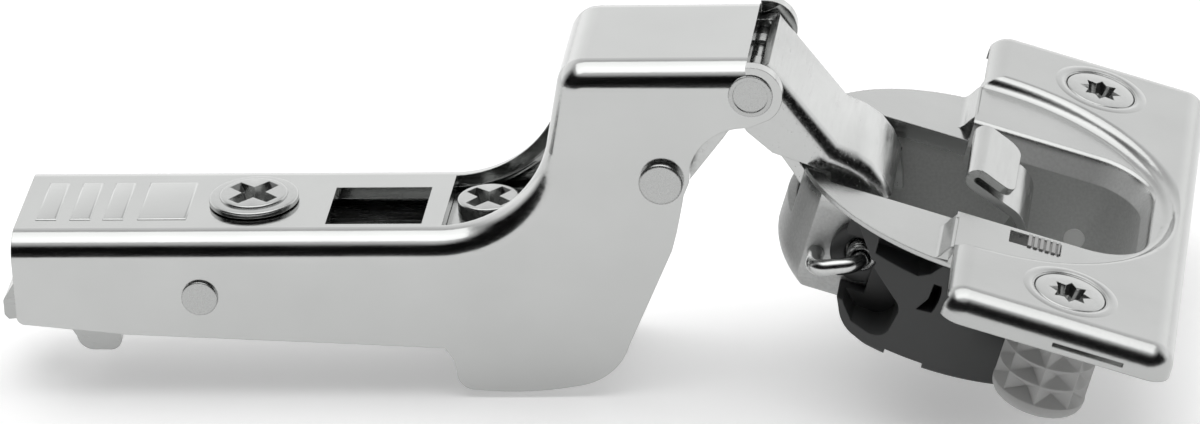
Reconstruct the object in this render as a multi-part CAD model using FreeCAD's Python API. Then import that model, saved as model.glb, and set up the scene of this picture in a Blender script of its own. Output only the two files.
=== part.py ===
"""Cranked concealed hinge for an inset cabinet door, fully open.

The frame: +X runs along the arm towards the cup, +Y across the hinge along the
pivots, +Z away from the cabinet wall. The origin lies on the wall, on the
middle plane, below the rear end of the arm.
"""
import FreeCAD
import Part
import math
import os
from FreeCAD import Vector

# Cranked arm, a channel of sheet steel that is open below
ARM_WIDTH = 16.7
ARM_SHEET = 1.2
ARM_EDGE_RADIUS = 2.5
ARM_TOP = 17.0
ARM_FLAT_LENGTH = 41.0
CRANK_RISE = 17.5
CRANK_CURVE_RADIUS = 11.4
CRANK_CURVE_TURN = 75.0
CRANK_TOP_RADIUS = 2.9
CRANK_FACE_LEAN = 76.0
PLATEAU_END = 71.65
NOSE_RADIUS = 3.0
FOOT_BOTTOM = 0.7
FOOT_REAR = 42.1
REAR_WALL_BOTTOM = 7.9
OPEN_TOP_MARGIN = 2.75

# Pivots on the arm, each at x and z
REAR_PIN = (18.0, 10.8)
LOWER_PIN = (63.1, 22.8)
UPPER_PIN = (72.0, 31.6)
REAR_PIN_RADIUS = 1.65
LOWER_PIN_RADIUS = 1.5
UPPER_PIN_RADIUS = 0.85
PIN_HEAD_RADIUS = 2.1
LOWER_HEAD_HEIGHT = 0.9
UPPER_HEAD_HEIGHT = 0.25
REAR_HEAD_HEIGHT = 0.4

# Clearances
RUNNING = 0.05
SIDE_GAP = 0.3
ADJUST_GAP = 1.4

# Depth setting, forwards and backwards along X
DEPTH_OUT = 3.0
DEPTH_IN = 2.0

# Channels inside the arm
RAIL_SHEET = 1.0
RAIL_LENGTH = 50.0
RAIL_WALL_BOTTOM = 9.0
CLIP_SHEET = 1.2
CLIP_LENGTH = 40.5
CLIP_WALL_BOTTOM = 8.0
CLIP_HOOK_LENGTH = 49.0
CLIP_HOOK_BOTTOM = 3.4

# Screws in the arm
CAM_SCREW_X = 22.5
CAM_FLANGE_RADIUS = 4.35
CAM_FLANGE_GAP = 0.15
CAM_FLANGE_THICKNESS = 0.55
CAM_DOME_RISE = 0.8
CAM_DOME_RADIUS = 3.1
CAM_SHANK_RADIUS = 2.15
SIDE_SCREW_X = 45.25
SIDE_HEAD_RADIUS = 3.0
SIDE_SHANK_RADIUS = 2.0
SIDE_COLLAR_LAP = 0.3
CROSS_SLOT_WIDTH = 1.3
CROSS_DEPTH = 1.6

# Window and embossed fields in the top of the arm
WINDOW_START = 30.1
WINDOW_END = 39.4
WINDOW_NEAR = -5.2
WINDOW_FAR = 3.0
FIELD_STARTS = (1.9, 5.2, 8.4, 11.8)
FIELD_LENGTHS = (1.9, 1.9, 1.9, 4.6)
FIELD_HALF_WIDTH = 4.05
FIELD_DEPTH = 0.25

# Release lever at the rear
LEVER_PIVOT = (3.2, 9.8)
LEVER_PIN_RADIUS = 0.9
LEVER_SIDE_GAP = 0.45
LEVER_SHEET = 1.0

# Cup, in its own frame: u along the door, n out of the mouth
CUP_TILT = 18.75
CUP_LEFT_EDGE = (75.729, 23.025)
TROUGH_RADIUS = 17.5
TROUGH_HALF_WIDTH = 9.6
TROUGH_SHEET = 0.9
TROUGH_DEPTH = 11.1
TROUGH_EDGE_RADIUS = 3.3
RIM_OVERHANG = 0.7
RIM_TOP = 0.95
RIM_SHEET = 0.5
RIM_CHANNEL_HALF_WIDTH = 7.4
WING_START = -2.0
WING_PAST_DISH = 1.0
WING_HALF_LENGTH = 29.6
WING_TOP = 3.8
WING_BOTTOM = 0.75
WING_SHEET = 1.2
WING_EDGE_RADIUS = 2.2
WING_CORNER_RADIUS = 2.3
WING_SLOT = (8.9, 15.7)
WING_SLOT_LEVELS = (1.35, 1.75)
BELT_TOP = 2.6
DISH_RUN = 2.0
MOUTH_HALF_WIDTH = 10.4
MOUTH_END_WALL = 1.2
MOUTH_CORNER_RADIUS = 6.0
MOUTH_FLARE = 0.6
LINK_NOTCH_BOTTOM = -4.9

# Pivots in the cup, each at its distance from the left end of the bowl and its n
INNER_PIVOT_IN = (4.0, -6.2)
OUTER_PIVOT_IN = (8.1, -4.3)
WIRE_RADIUS = 0.8
WIRE_BRIDGE_Y = -11.2

# Links
LINK_SIDE_GAP = 0.35
LINK_SHEET = 1.1
LINK_PLATE_OFFSET = 2.6
LINK_EYE_RADIUS = 1.6
LINK_CREASE = (79.7, 25.25)
LINK_TIP = (84.6, 20.0)
FORK_SLOT_HALF_WIDTH = 1.75
FORK_SLOT_SHIFT = (-0.2, 0.9)
FORK_LEG_DROP = 1.0
INNER_LINK_GAP = 0.7
INNER_EYE_RADIUS = 1.45
INNER_LINK_SHEET = 1.2
RING_RADIUS = 1.2
RING_WIDTH = 1.6

# Dowels and their screws
DOWEL_U = 9.5
DOWEL_Y = 22.5
DOWEL_RADIUS = 4.5
DOWEL_LENGTH = 9.4
DOWEL_TIP = 2.2
DOWEL_TIP_RADIUS = 1.0
DOWEL_NECK = 0.3
DOWEL_FLOOR = 2.8
DOWEL_ROWS = 3
DOWEL_CELLS = 12
CELL_DEPTH = 0.7
SCREW_HEAD_RADIUS = 3.45
SCREW_CORE_RADIUS = 1.6

# Damper: housing, rocker, slider
HOUSING_RADIUS = 17.2
HOUSING_BOTTOM = 11.0
HOUSING_BASE = 11.75
HOUSING_START = -11.4
HOUSING_END = 6.4
HOUSING_GAP = 0.1
ROCKER_PIVOT = (2.6, -8.9)
ROCKER_EYE_RADIUS = 1.05
ROCKER_SHEET = 0.9
ROCKER_HALF_WIDTH = 4.8
ROCKER_PIN_RADIUS = 0.65
SLIDER_START = 5.0
SLIDER_LENGTH = 3.1
SLIDER_TRAVEL = 1.6
SLIDER_Y = -12.2
SLIDER_WIDTH = 2.4
RIVET_PLACE = (10.6, -5.8)
RIVET_RADIUS = 1.05

# Closing spring
SPRING_RADIUS = 1.25
SPRING_WIRE = 0.35
SPRING_TURNS = 3

# Values worked out from the sizes above
ARM_HALF = ARM_WIDTH / 2
ARM_INSIDE = ARM_HALF - ARM_SHEET
OPEN_TOP_HALF_WIDTH = ARM_HALF - OPEN_TOP_MARGIN
SIDE_COLLAR_RADIUS = OPEN_TOP_HALF_WIDTH + SIDE_COLLAR_LAP
CRANK_TOP = ARM_TOP + CRANK_RISE
RAIL_HALF = ARM_INSIDE - SIDE_GAP
RAIL_TOP = ARM_TOP - ARM_SHEET - ADJUST_GAP
CLIP_HALF = RAIL_HALF - RAIL_SHEET - SIDE_GAP
CLIP_TOP = RAIL_TOP - RAIL_SHEET - SIDE_GAP
LEVER_HALF_WIDTH = CLIP_HALF - CLIP_SHEET - LEVER_SIDE_GAP
LINK_HALF_WIDTH = ARM_INSIDE - LINK_SIDE_GAP
LINK_INSIDE = LINK_HALF_WIDTH - LINK_SHEET
INNER_LINK_HALF_WIDTH = LINK_INSIDE - INNER_LINK_GAP
CURVE_TURN = math.radians(CRANK_CURVE_TURN)
TILT = math.radians(CUP_TILT)
CUP_CENTRE = (CUP_LEFT_EDGE[0] + TROUGH_RADIUS * math.cos(TILT), CUP_LEFT_EDGE[1] - TROUGH_RADIUS * math.sin(TILT))
INNER_PIVOT = (INNER_PIVOT_IN[0] - TROUGH_RADIUS, INNER_PIVOT_IN[1])
OUTER_PIVOT = (OUTER_PIVOT_IN[0] - TROUGH_RADIUS, OUTER_PIVOT_IN[1])
RIM_RADIUS = TROUGH_RADIUS + RIM_OVERHANG
BELT_RADIUS = TROUGH_RADIUS - 0.2
WING_END = BELT_RADIUS + DISH_RUN + WING_PAST_DISH
MOUTH_END = TROUGH_RADIUS - MOUTH_END_WALL
BEYOND = 60.0


def path_wire(points):
    """Closed wire in the XZ plane. A point of four numbers ends an arc: middle, then end."""
    edges = []
    here = Vector(points[0][0], 0, points[0][1])
    for point in points[1:] + [points[0]]:
        end = Vector(point[-2], 0, point[-1])
        if len(point) == 4:
            middle = Vector(point[0], 0, point[1])
            edges.append(Part.Arc(here, middle, end).toShape())
        elif here.distanceToPoint(end) > 1e-6:
            edges.append(Part.makeLine(here, end))
        here = end
    return Part.Wire(edges)


def plate_y(points, y_from, y_to):
    """Solid between two planes across Y with the outline given in XZ."""
    face = Part.Face(path_wire(points))
    face.translate(Vector(0, y_from, 0))
    return face.extrude(Vector(0, y_to - y_from, 0))


def block(x_from, x_to, y_from, y_to, z_from, z_to):
    """Box between the given limits."""
    size = (x_to - x_from, y_to - y_from, z_to - z_from)
    return Part.makeBox(size[0], size[1], size[2], Vector(x_from, y_from, z_from))


def rod_y(place, radius, y_from, y_to):
    """Cylinder along Y at the given x and z."""
    return Part.makeCylinder(radius, y_to - y_from, Vector(place[0], y_from, place[1]), Vector(0, 1, 0))


def rod_z(x, y, radius, z_from, z_to):
    """Cylinder along Z."""
    return Part.makeCylinder(radius, z_to - z_from, Vector(x, y, z_from), Vector(0, 0, 1))


def round_edges(shape, radius, wanted):
    """Fillet the edges for which wanted(edge) is true."""
    edges = [edge for edge in shape.Edges if wanted(edge)]
    return shape.makeFillet(radius, edges)


def upright_corner(edge, x_wanted=None):
    """True for a straight edge along Z."""
    if not isinstance(edge.Curve, Part.Line):
        return False
    direction = edge.Curve.Direction
    if abs(direction.z) < 0.99:
        return False
    return x_wanted is None or abs(edge.CenterOfMass.x - x_wanted) < 0.01


def from_cup(shape):
    """Carry a shape from the cup's own frame to the frame of the hinge."""
    placed = shape.copy()
    placed.rotate(Vector(0, 0, 0), Vector(0, 1, 0), CUP_TILT)
    placed.translate(Vector(CUP_CENTRE[0], 0, CUP_CENTRE[1]))
    return placed


def cup_point(u, n):
    """A point of the cup's frame as x and z of the hinge."""
    x = CUP_CENTRE[0] + u * math.cos(TILT) + n * math.sin(TILT)
    z = CUP_CENTRE[1] - u * math.sin(TILT) + n * math.cos(TILT)
    return x, z


def on_circle(centre, radius, degrees):
    """Point on a circle in the XZ plane."""
    angle = math.radians(degrees)
    return centre[0] + radius * math.cos(angle), centre[1] + radius * math.sin(angle)


def save(node, shape):
    """Write one sub-part as a STEP file."""
    clean = shape.removeSplitter()
    clean.exportStep("parts/" + node + ".step")
    print(node, "solids", len(clean.Solids), "volume", round(clean.Volume, 1), "valid", clean.isValid())


def top_line(inset):
    """Upper outline of the arm from the rear to the plateau, moved in by the sheet."""
    centre = (ARM_FLAT_LENGTH, ARM_TOP + CRANK_CURVE_RADIUS)
    radius = CRANK_CURVE_RADIUS + inset
    curve_middle = on_circle(centre, radius, -90 + CRANK_CURVE_TURN / 2)
    curve_end = on_circle(centre, radius, -90 + CRANK_CURVE_TURN)
    corner_radius = CRANK_TOP_RADIUS - inset
    outer_end = on_circle(centre, CRANK_CURVE_RADIUS, -90 + CRANK_CURVE_TURN)
    climb = CRANK_TOP - CRANK_TOP_RADIUS - outer_end[1]
    lean_x = climb / math.tan(CURVE_TURN)
    side = (math.sin(CURVE_TURN) * CRANK_TOP_RADIUS, -math.cos(CURVE_TURN) * CRANK_TOP_RADIUS)
    lift = -side[1]
    corner = (outer_end[0] + (climb - lift * 0) / math.tan(CURVE_TURN) + side[0], CRANK_TOP - CRANK_TOP_RADIUS)
    corner = (outer_end[0] + lean_x + side[0] - lift / math.tan(CURVE_TURN), corner[1])
    face_end = on_circle(corner, corner_radius, 90 + CRANK_CURVE_TURN)
    corner_middle = on_circle(corner, corner_radius, 90 + CRANK_CURVE_TURN / 2)
    corner_end = on_circle(corner, corner_radius, 90)
    return [curve_middle + curve_end, face_end, corner_middle + corner_end]


def arm_outline():
    """Side view of the arm without the round nose."""
    points = [(0.0, REAR_WALL_BOTTOM + 1.0), (0.0, ARM_TOP), (ARM_FLAT_LENGTH, ARM_TOP)]
    points += top_line(0.0)
    points += [(PLATEAU_END, CRANK_TOP), (PLATEAU_END, UPPER_PIN[1] - NOSE_RADIUS - 0.35)]
    points += [(67.6, 26.9, 65.9, 24.4), (65.7, 22.6), (65.1, 21.2), (64.9, 20.2)]
    points += [(64.2, 17.2), (63.7, 15.5), (59.1, 5.6), (57.4, 2.9, 54.2, 1.3)]
    points += [(49.0, FOOT_BOTTOM, 43.7, 0.9), (42.7, 1.5, 42.3, 2.8), (FOOT_REAR, 4.0)]
    points += [(41.3, 5.3), (30.0, 5.9), (10.5, 6.85), (1.0, REAR_WALL_BOTTOM)]
    points += [(0.25, REAR_WALL_BOTTOM + 0.25, 0.0, REAR_WALL_BOTTOM + 1.0)]
    return points[:-1] + [points[-1]]


def nose_outline():
    """Side view of one round nose plate around the upper pin."""
    start = (PLATEAU_END - 3.0, CRANK_TOP)
    crown = (UPPER_PIN[0], CRANK_TOP)
    front = on_circle(UPPER_PIN, NOSE_RADIUS, 0)
    under = on_circle(UPPER_PIN, NOSE_RADIUS, -55)
    inner = (PLATEAU_END, UPPER_PIN[1] - NOSE_RADIUS - 0.35)
    return [start, crown, front + under, inner, (PLATEAU_END - 3.0, 27.4)]


def cross_recess(x, y, top):
    """Cross-shaped cutter for a screw head."""
    reach = 2.2
    half = CROSS_SLOT_WIDTH / 2
    arm = block(-reach, reach, -half, half, top - CROSS_DEPTH, top + 1.0)
    core = rod_z(0, 0, 0.95, top - CROSS_DEPTH - 0.4, top + 1.0)
    cutter = core
    for turn in (45, 135):
        slot = arm.copy()
        slot.rotate(Vector(0, 0, 0), Vector(0, 0, 1), turn)
        cutter = cutter.fuse(slot)
    cutter.translate(Vector(x, y, 0))
    return cutter


def hinge_arm():
    """Outer channel with the crank, the foot and the nose."""
    body = plate_y(arm_outline(), -ARM_HALF, ARM_HALF)

    def along_top(edge):
        middle = edge.valueAt((edge.FirstParameter + edge.LastParameter) / 2)
        if abs(abs(middle.y) - ARM_HALF) > 0.01 or middle.z < ARM_TOP - 0.01:
            return False
        ends = [vertex.Point for vertex in edge.Vertexes]
        flat_end = all(abs(end.x - PLATEAU_END) < 0.01 for end in ends)
        return middle.x < PLATEAU_END - 0.01 and not flat_end and upper_side(middle)

    def upper_side(point):
        if point.x < 60:
            return True
        return point.z > CRANK_TOP - 0.01

    body = round_edges(body, ARM_EDGE_RADIUS, along_top)
    for side in (-1, 1):
        limits = sorted((side * ARM_INSIDE, side * ARM_HALF))
        nose = plate_y(nose_outline(), limits[0], limits[1])
        body = body.fuse(nose.common(block(PLATEAU_END, 90, -20, 20, 0, 60)))
    inner = [(-2.0, -2.0), (-2.0, ARM_TOP - ARM_SHEET), (ARM_FLAT_LENGTH, ARM_TOP - ARM_SHEET)]
    inner += top_line(ARM_SHEET)
    inner += [(90.0, CRANK_TOP - ARM_SHEET), (90.0, -2.0)]
    hollow = plate_y(inner, -ARM_INSIDE, ARM_INSIDE)

    def inside_top(edge):
        middle = edge.valueAt((edge.FirstParameter + edge.LastParameter) / 2)
        return abs(abs(middle.y) - ARM_INSIDE) < 0.01 and middle.z > ARM_TOP - ARM_SHEET - 0.01 and middle.x < 89

    hollow = round_edges(hollow, ARM_EDGE_RADIUS - ARM_SHEET, inside_top)
    body = body.cut(hollow)
    gap_start = ARM_FLAT_LENGTH + 0.4
    gap_end = 53.2
    half = OPEN_TOP_HALF_WIDTH
    body = body.cut(block(gap_start, gap_end, -half, half, ARM_TOP - 4.0, 32.6))
    body = body.cut(block(WINDOW_START, WINDOW_END, WINDOW_NEAR, WINDOW_FAR, ARM_TOP - 3.0, ARM_TOP + 1))
    for start, length in zip(FIELD_STARTS, FIELD_LENGTHS):
        field = block(start, start + length, -FIELD_HALF_WIDTH, FIELD_HALF_WIDTH, ARM_TOP - FIELD_DEPTH, ARM_TOP + 1)
        body = body.cut(field)
    body = body.cut(rod_z(CAM_SCREW_X, 0, CAM_SHANK_RADIUS + 0.5, ARM_TOP - 3.0, ARM_TOP + 1))
    body = body.cut(rod_y(REAR_PIN, REAR_PIN_RADIUS + RUNNING, -BEYOND, BEYOND))
    body = body.cut(rod_y(LOWER_PIN, LOWER_PIN_RADIUS, -BEYOND, BEYOND))
    body = body.cut(rod_y(UPPER_PIN, LINK_EYE_RADIUS + 0.1, -ARM_INSIDE, ARM_INSIDE))
    return body.cut(rod_y(UPPER_PIN, UPPER_PIN_RADIUS, -BEYOND, BEYOND))


def channel(x_from, x_to, half, sheet, top, bottom, edge_radius):
    """Plain channel that is open below."""
    outer = block(x_from, x_to, -half, half, bottom, top)
    inner = block(x_from - 1, x_to + 1, -half + sheet, half - sheet, bottom - 1, top - sheet)

    def long_top(edge):
        centre = edge.CenterOfMass
        return abs(centre.z - top) < 0.01 and abs(abs(centre.y) - half) < 0.01

    outer = round_edges(outer, edge_radius, long_top)
    return outer.cut(inner)


def adjusting_rail():
    """Middle channel that carries the rear pin and both screws."""
    rail = channel(1.2, RAIL_LENGTH, RAIL_HALF, RAIL_SHEET, RAIL_TOP, RAIL_WALL_BOTTOM, 1.2)
    rail = rail.cut(rod_y(REAR_PIN, REAR_PIN_RADIUS, -BEYOND, BEYOND))
    rail = rail.cut(rod_z(CAM_SCREW_X, 0, CAM_SHANK_RADIUS + RUNNING, 0, 30))
    return rail.cut(rod_z(SIDE_SCREW_X, 0, SIDE_SHANK_RADIUS + 0.4, 0, 30))


def slot_y(place, radius, back, ahead):
    """Slot cutter across Y, longer than its pin by back and ahead."""
    start = rod_y((place[0] - back, place[1]), radius, -BEYOND, BEYOND)
    end = rod_y((place[0] + ahead, place[1]), radius, -BEYOND, BEYOND)
    middle = block(place[0] - back, place[0] + ahead, -20, 20, place[1] - radius, place[1] + radius)
    return start.fuse(end).fuse(middle)


def mounting_channel():
    """Inner channel that clips on the mounting plate."""
    body = channel(1.6, CLIP_LENGTH, CLIP_HALF, CLIP_SHEET, CLIP_TOP, CLIP_WALL_BOTTOM, 1.2)
    hook = [(30.0, CLIP_WALL_BOTTOM + 2), (CLIP_HOOK_LENGTH, CLIP_WALL_BOTTOM + 2)]
    hook += [(CLIP_HOOK_LENGTH, CLIP_HOOK_BOTTOM + 1.2), (CLIP_HOOK_LENGTH - 1.2, CLIP_HOOK_BOTTOM)]
    hook += [(45.6, CLIP_HOOK_BOTTOM), (45.6, 5.0), (44.6, 6.0, 43.6, 5.0)]
    hook += [(43.6, CLIP_HOOK_BOTTOM + 0.6), (42.4, CLIP_HOOK_BOTTOM + 0.6), (40.0, 6.4), (30.0, CLIP_WALL_BOTTOM)]
    for side in (-1, 1):
        limits = sorted((side * CLIP_HALF, side * (CLIP_HALF - CLIP_SHEET)))
        body = body.fuse(plate_y(hook, limits[0], limits[1]))
    body = body.cut(slot_y(REAR_PIN, REAR_PIN_RADIUS + RUNNING, DEPTH_IN, DEPTH_OUT))
    foot = CAM_SHANK_RADIUS + SIDE_GAP
    body = body.cut(block(CAM_SCREW_X - DEPTH_IN - foot, CAM_SCREW_X + DEPTH_OUT + foot, -foot, foot, 11, 20))
    return body.cut(rod_y(LEVER_PIVOT, LEVER_PIN_RADIUS, -BEYOND, BEYOND))


def release_lever():
    """Bent lever with a finger tab behind the arm and a hook below."""
    outline = [(-2.1, 6.9), (-2.1, 8.4), (-1.0, 10.1), (0.6, 10.5), (1.9, 11.2), (4.6, 11.2), (8.2, 9.6)]
    outline += [(9.0, 7.0), (9.1, 4.6), (8.8, 3.4, 7.8, 3.1), (6.3, 3.1), (5.5, 3.4, 4.8, 4.6)]
    outline += [(3.8, 6.2), (0.6, 6.6), (-1.7, 6.4)]
    body = plate_y(outline, -LEVER_HALF_WIDTH, LEVER_HALF_WIDTH)
    half = LEVER_HALF_WIDTH - LEVER_SHEET
    body = body.cut(block(0.6, 20, -half, half, 0, 20))
    return body.cut(rod_y(LEVER_PIVOT, LEVER_PIN_RADIUS + RUNNING, -BEYOND, BEYOND))


def headed_pin(place, radius, head_radius, head_height, recess):
    """Rivet across the arm with a flat head at each side."""
    pin = rod_y(place, radius, -ARM_HALF, ARM_HALF)
    for side in (-1, 1):
        outer = side * (ARM_HALF + head_height)
        limits = sorted((side * ARM_HALF, outer))
        head = rod_y(place, head_radius, limits[0], limits[1])

        def rim(edge):
            return abs(edge.CenterOfMass.y - outer) < 0.01 and isinstance(edge.Curve, Part.Circle)

        head = round_edges(head, head_height / 3, rim)
        if recess:
            cut = sorted((outer, outer - side * head_height / 2))
            head = head.cut(rod_y(place, head_radius - 0.45, cut[0], cut[1]))
        pin = pin.fuse(head)
    return pin


def depth_cam_screw():
    """Flanged screw whose foot runs in the slot of the mounting channel."""
    base = ARM_TOP + CAM_FLANGE_GAP
    screw = rod_z(CAM_SCREW_X, 0, CAM_FLANGE_RADIUS, base, base + CAM_FLANGE_THICKNESS)
    screw = screw.fuse(rod_z(CAM_SCREW_X, 0, CAM_DOME_RADIUS, base, base + CAM_DOME_RISE))

    def rims(edge):
        if not isinstance(edge.Curve, Part.Circle):
            return False
        return edge.CenterOfMass.z > base + CAM_DOME_RISE - 0.05 or abs(edge.Curve.Radius - CAM_FLANGE_RADIUS) < 0.01

    screw = round_edges(screw, 0.22, rims)
    screw = screw.fuse(rod_z(CAM_SCREW_X, 0, CAM_SHANK_RADIUS, CLIP_TOP - CLIP_SHEET, base + 0.2))
    return screw.cut(cross_recess(CAM_SCREW_X, 0, base + CAM_DOME_RISE))


def side_adjust_screw():
    """Screw that stands in the open top of the arm."""
    collar_base = ARM_TOP - ARM_SHEET - 0.7
    screw = rod_z(SIDE_SCREW_X, 0, SIDE_COLLAR_RADIUS, collar_base, ARM_TOP - ARM_SHEET - 0.1)
    screw = screw.fuse(rod_z(SIDE_SCREW_X, 0, SIDE_HEAD_RADIUS, collar_base, ARM_TOP + 0.4))
    screw = screw.fuse(rod_z(SIDE_SCREW_X, 0, SIDE_SHANK_RADIUS, RAIL_TOP - 2.6, collar_base + 0.2))
    return screw.cut(cross_recess(SIDE_SCREW_X, 0, ARM_TOP + 0.4))


def link_plate_line():
    """Direction along the upper part of the outer link and its outward normal."""
    run = (LINK_CREASE[0] - UPPER_PIN[0], LINK_CREASE[1] - UPPER_PIN[1])
    length = math.hypot(run[0], run[1])
    normal_angle = math.atan2(run[1], run[0]) + math.acos(LINK_PLATE_OFFSET / length)
    normal = (math.cos(normal_angle), math.sin(normal_angle))
    return (normal[1], -normal[0]), normal


def outer_link():
    """Wide bent link, a channel with its flanges towards the inner link."""
    along, normal = link_plate_line()
    offset = LINK_PLATE_OFFSET
    plate_end = (UPPER_PIN[0] + offset * normal[0] - 0.8 * along[0], UPPER_PIN[1] + offset * normal[1] - 0.8 * along[1])
    pivot = cup_point(OUTER_PIVOT[0], OUTER_PIVOT[1])
    slot_x = pivot[0] + FORK_SLOT_SHIFT[0]
    slot_top = pivot[1] + FORK_SLOT_SHIFT[1]
    leg_left = slot_x - FORK_SLOT_HALF_WIDTH - 1.05
    leg_right = slot_x + FORK_SLOT_HALF_WIDTH + 0.95
    leg_bottom = pivot[1] - FORK_LEG_DROP
    outline = [plate_end, LINK_CREASE, (82.9, 23.3) + LINK_TIP, (leg_right, leg_bottom)]
    outline += [(leg_left + 0.9, leg_bottom), (leg_left, leg_bottom + 1.1), (leg_left, 22.9), (77.6, 23.45), (73.6, 25.0), (71.2, 27.3)]
    outline += [on_circle(UPPER_PIN, LINK_EYE_RADIUS, 195)]
    outline += [on_circle(UPPER_PIN, LINK_EYE_RADIUS, 145) + on_circle(UPPER_PIN, LINK_EYE_RADIUS, 90)]
    body = plate_y(outline, -LINK_HALF_WIDTH, LINK_HALF_WIDTH)
    inner_half = LINK_INSIDE
    sheet = LINK_SHEET
    inner_end = (plate_end[0] - sheet * normal[0], plate_end[1] - sheet * normal[1])
    inner_crease = (LINK_CREASE[0] - sheet * 1.04, LINK_CREASE[1] - sheet * 0.62)
    hollow = [(inner_end[0] - 6 * along[0], inner_end[1] - 6 * along[1]), inner_crease]
    tip_end = LINK_TIP[1] + 0.3
    hollow += [(82.1, 22.5, LINK_TIP[0] - sheet, tip_end), (90, tip_end), (90, 5), (50, 5), (50, 40)]
    body = body.cut(plate_y(hollow, -inner_half, inner_half))
    body = body.cut(rod_y(UPPER_PIN, UPPER_PIN_RADIUS + RUNNING, -BEYOND, BEYOND))
    half = FORK_SLOT_HALF_WIDTH
    slot = block(slot_x - half, slot_x + half, -20, 20, 0, slot_top)
    body = body.cut(slot.fuse(rod_y((slot_x, slot_top), half, -BEYOND, BEYOND)))
    behind = block(60, plate_end[0] - 0.1, -inner_half, inner_half, UPPER_PIN[1] + 0.2, 40)
    return body.cut(behind)


def inner_link():
    """Arched link that passes over the edge of the cup."""
    pivot = cup_point(INNER_PIVOT[0], INNER_PIVOT[1])
    eye = 2.7
    outline = [on_circle(LOWER_PIN, eye, 180), on_circle(LOWER_PIN, eye, -120) + on_circle(LOWER_PIN, eye, -50)]
    outline += [(69.0, 26.0), (70.2, 26.9, 71.8, 26.3), (73.7, 24.7), (75.1, 22.4), (75.9, 20.9), (76.35, 19.6), (76.6, 17.9)]
    outline += [(pivot[0] - INNER_EYE_RADIUS, pivot[1])]
    outline += [(pivot[0], pivot[1] - INNER_EYE_RADIUS, pivot[0] + INNER_EYE_RADIUS, pivot[1])]
    outline += [(77.9, 19.5), (76.7, 21.8), (76.0, 23.0), (74.7, 25.3), (73.3, 26.5), (71.0, 27.8)]
    outline += [(68.8, 28.3), (66.0, 27.6), on_circle(LOWER_PIN, eye, 120)]
    outline += [on_circle(LOWER_PIN, eye, 150) + on_circle(LOWER_PIN, eye, 180)]
    body = plate_y(outline, -INNER_LINK_HALF_WIDTH, INNER_LINK_HALF_WIDTH)
    body = body.cut(rod_y(LOWER_PIN, LOWER_PIN_RADIUS + RUNNING, -BEYOND, BEYOND))
    return body.cut(rod_y(pivot, WIRE_RADIUS + RUNNING, -BEYOND, BEYOND))


def cup_outline_solid(radius, half_width, bottom, top):
    """Round body cut flat at both sides."""
    round_body = Part.makeCylinder(radius, top - bottom, Vector(0, 0, bottom))
    return round_body.common(block(-30, 30, -half_width, half_width, bottom, top))


def mouth_outline(half_width, end, radius, level):
    """Outline open towards the links, with round corners at its right end."""
    start = WING_START
    side = half_width - radius
    diagonal = radius * math.sqrt(0.5)
    corner = end - radius
    edges = [Part.makeLine(Vector(start, -half_width, level), Vector(corner, -half_width, level))]
    near = (Vector(corner, -half_width, level), Vector(corner + diagonal, -side - diagonal, level),
            Vector(end, -side, level))
    far = (Vector(end, side, level), Vector(corner + diagonal, side + diagonal, level),
           Vector(corner, half_width, level))
    edges.append(Part.Arc(near[0], near[1], near[2]).toShape())
    edges.append(Part.makeLine(near[2], far[0]))
    edges.append(Part.Arc(far[0], far[1], far[2]).toShape())
    edges.append(Part.makeLine(far[2], Vector(start, half_width, level)))
    edges.append(Part.makeLine(Vector(start, half_width, level), Vector(start, -half_width, level)))
    return Part.Wire(edges)


def bowl_solid(inset, bottom, top, edge_radius):
    """Bowl with a round left end and a right end with round corners."""
    radius = TROUGH_RADIUS - inset
    half = TROUGH_HALF_WIDTH - inset
    end = MOUTH_END + 0.3 - inset
    left = cup_outline_solid(radius, half, bottom, top).common(block(-30, WING_START, -30, 30, bottom, top))
    right = Part.Face(mouth_outline(half, end, MOUTH_CORNER_RADIUS - inset, bottom))
    body = left.fuse(right.extrude(Vector(0, 0, top - bottom))).removeSplitter()

    def floor_edge(edge):
        return edge.BoundBox.ZMax < bottom + 0.01

    return round_edges(body, edge_radius, floor_edge)


def dish_cutter():
    """Body of revolution that sinks the belt below the wings, with a soft step."""
    rise = WING_TOP - BELT_TOP
    turn = 2 * math.atan2(rise, DISH_RUN)
    radius = DISH_RUN / (2 * math.sin(turn))
    low_centre = (BELT_RADIUS, BELT_TOP + radius)
    high_centre = (BELT_RADIUS + DISH_RUN, WING_TOP - radius)
    low_end = on_circle(low_centre, radius, -90 + math.degrees(turn))
    high_end = on_circle(high_centre, radius, 90)
    low_middle = on_circle(low_centre, radius, -90 + math.degrees(turn) / 2)
    high_middle = on_circle(high_centre, radius, 90 + math.degrees(turn) / 2)
    points = [(0.0, BELT_TOP), (BELT_RADIUS, BELT_TOP), low_middle + low_end, high_middle + high_end]
    points += [(BELT_RADIUS + DISH_RUN, WING_TOP + 3.0), (0.0, WING_TOP + 3.0)]
    return Part.Face(path_wire(points)).revolve(Vector(0, 0, 0), Vector(0, 0, 1), 360)


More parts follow.
